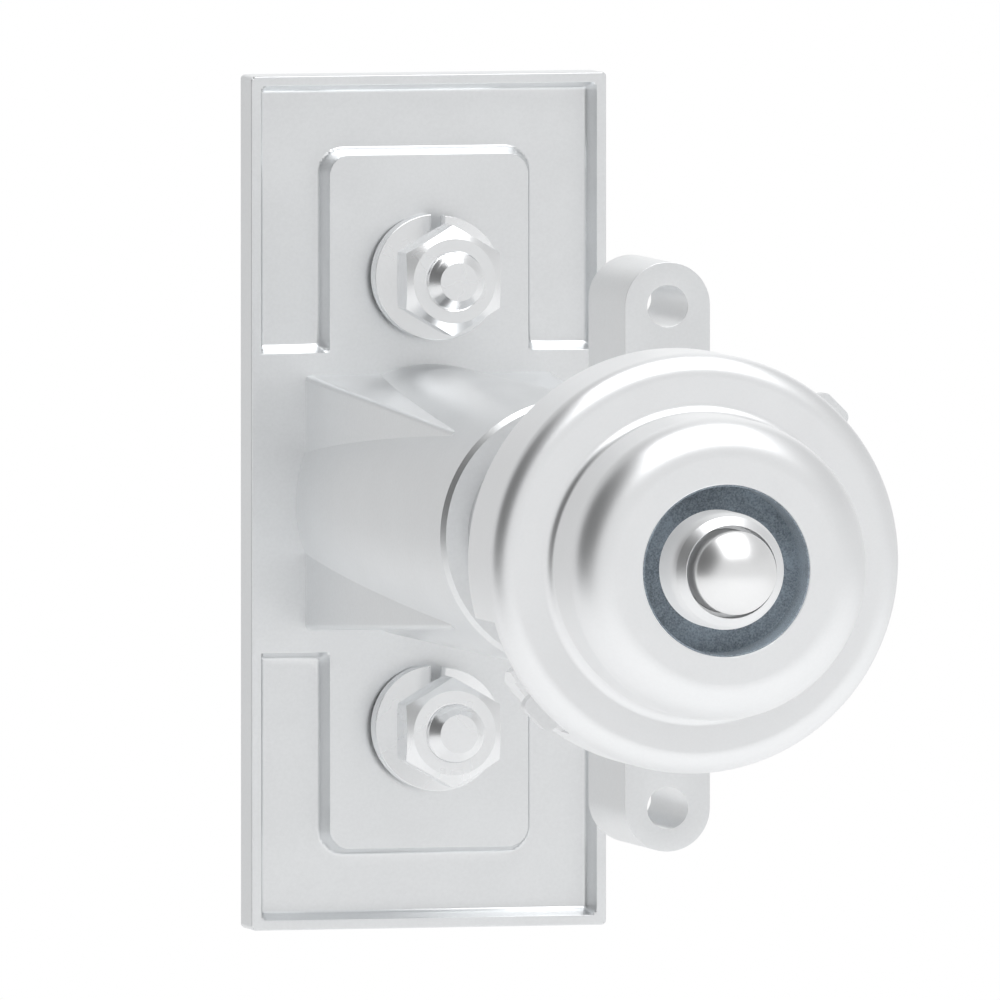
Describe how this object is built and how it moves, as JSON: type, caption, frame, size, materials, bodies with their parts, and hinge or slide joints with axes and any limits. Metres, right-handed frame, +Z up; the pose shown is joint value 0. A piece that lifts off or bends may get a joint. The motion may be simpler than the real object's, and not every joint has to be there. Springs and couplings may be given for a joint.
{
  "type": "pop-out t-handle lock",
  "caption": "Pop-out T-handle lock: a rimmed plate with studs and a square-to-round hub, a drilled T-shaped handle under a stepped bayonet cap, and a domed push button.",
  "frame": {"origin": "on the lock's axis, in the plane of the plate's back face", "axes": "+Z up the plate, +Y into the panel behind the plate, so the handle and button face -Y"},
  "size_m": [0.0428, 0.1337, 0.089],
  "materials": {
    "satin_casting": "satin plated casting",
    "bright_cap": "bright satin plating",
    "polished_button": "polished plating",
    "plated_fastener": "bright zinc plating",
    "bearing_bronze": "plain bearing bronze",
    "machined_steel": "machined steel",
    "spring_steel": "hardened steel",
    "dark_rubber": "grainy blue-grey rubber"
  },
  "bodies": {
    "housing": {"hub_plate": "satin_casting", "upper_stud": "plated_fastener", "lower_stud": "plated_fastener", "upper_lock_washer": "plated_fastener", "lower_lock_washer": "plated_fastener", "upper_nut": "plated_fastener", "lower_nut": "plated_fastener", "front_bush": "bearing_bronze", "rear_bush": "bearing_bronze"},
    "drive": {"drive_sleeve": "machined_steel", "thrust_washer": "machined_steel", "sleeve_circlip": "spring_steel", "sleeve_plug": "machined_steel", "pop_out_spring": "spring_steel"},
    "handle": {"handle_bar": "satin_casting", "handle_shank": "machined_steel", "shank_collar": "machined_steel", "shank_circlip": "spring_steel", "left_grub_screw": "plated_fastener", "right_grub_screw": "plated_fastener", "handle_cap": "bright_cap", "buffer_ring": "dark_rubber", "guide_collar": "bright_cap", "button_spring": "spring_steel", "upper_detent_ball": "spring_steel", "lower_detent_ball": "spring_steel"},
    "button": {"push_button": "polished_button", "plunger": "machined_steel"}
  },
  "joints": [
    {"name": "handle_turn", "type": "hinge", "parent": "housing", "child": "drive", "pos_m": [0, 0, 0], "axis": [0, 1, 0], "range_deg": [0, 90]},
    {"name": "handle_pop", "type": "slide", "parent": "drive", "child": "handle", "axis": [0, 1, 0], "range_m": [0, 0.02], "stiffness_N_per_m": 250, "springref_m": -0.012, "deforming": ["pop_out_spring"]},
    {"name": "button_press", "type": "slide", "parent": "handle", "child": "button", "axis": [0, 1, 0], "range_m": [0, 0.0025], "stiffness_N_per_m": 500, "springref_m": -0.002, "deforming": ["button_spring"]}
  ]
}
